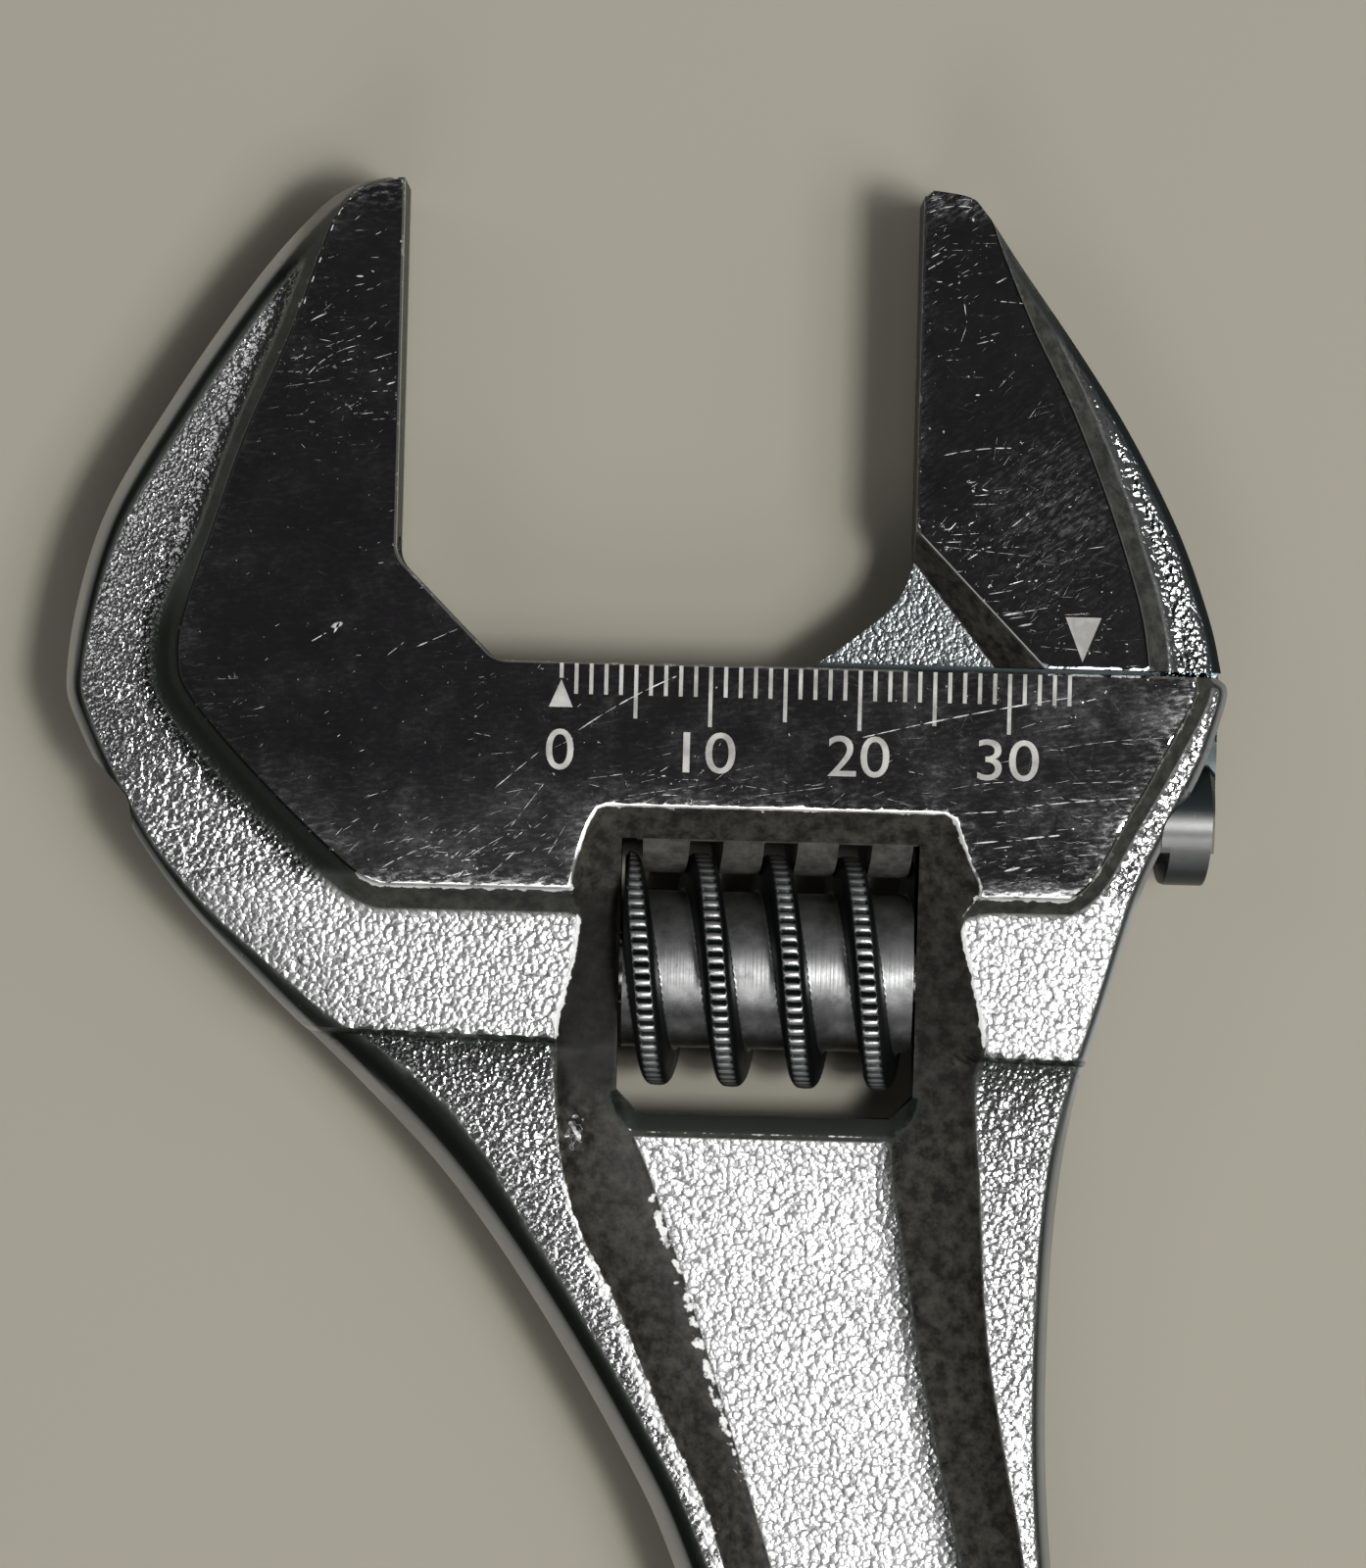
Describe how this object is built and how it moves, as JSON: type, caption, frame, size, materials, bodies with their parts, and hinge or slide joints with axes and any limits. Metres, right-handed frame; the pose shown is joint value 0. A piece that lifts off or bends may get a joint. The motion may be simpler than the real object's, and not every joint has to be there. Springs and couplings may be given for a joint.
{
  "type": "adjustable wrench",
  "caption": "Forged adjustable wrench: a worm in the head's window moves a jaw on a round toothed slide; I-section handle with a hanging hole.",
  "frame": {"origin": "on the polished back face, where the line of the fixed gripping face meets the line of the track", "axes": "+X is the way the movable jaw opens, +Y runs towards the jaw tips, +Z points out of the graduated front face"},
  "size_m": [0.0829, 0.1624, 0.0158],
  "materials": {
    "body": "nickel-plated forging, mirror-polished faces with orange-peel rim and web",
    "jaw": "nickel-plated forging, mirror-polished faces with orange-peel rim",
    "worm": "dark steel with a fine knurl on the thread",
    "pin": "turned steel",
    "spring": "drawn spring wire"
  },
  "bodies": {
    "handle": {"body": "body", "worm_pin": "pin", "worm_spring": "spring"},
    "jaw": {"movable_jaw": "jaw"},
    "worm": {"worm": "worm"}
  },
  "joints": [
    {"name": "worm_spin", "type": "hinge", "parent": "handle", "child": "worm", "pos_m": [0.0256, -0.0205, 0.006], "axis": [1, 0, 0], "range_deg": [0, 2498]},
    {"name": "jaw_slide", "type": "slide", "parent": "handle", "child": "jaw", "axis": [1, 0, 0], "range_m": [-0.0347, 0]}
  ],
  "couplings": [
    {"joint": "jaw_slide", "follows": "worm_spin", "m_per_rad": -0.00079577}
  ]
}
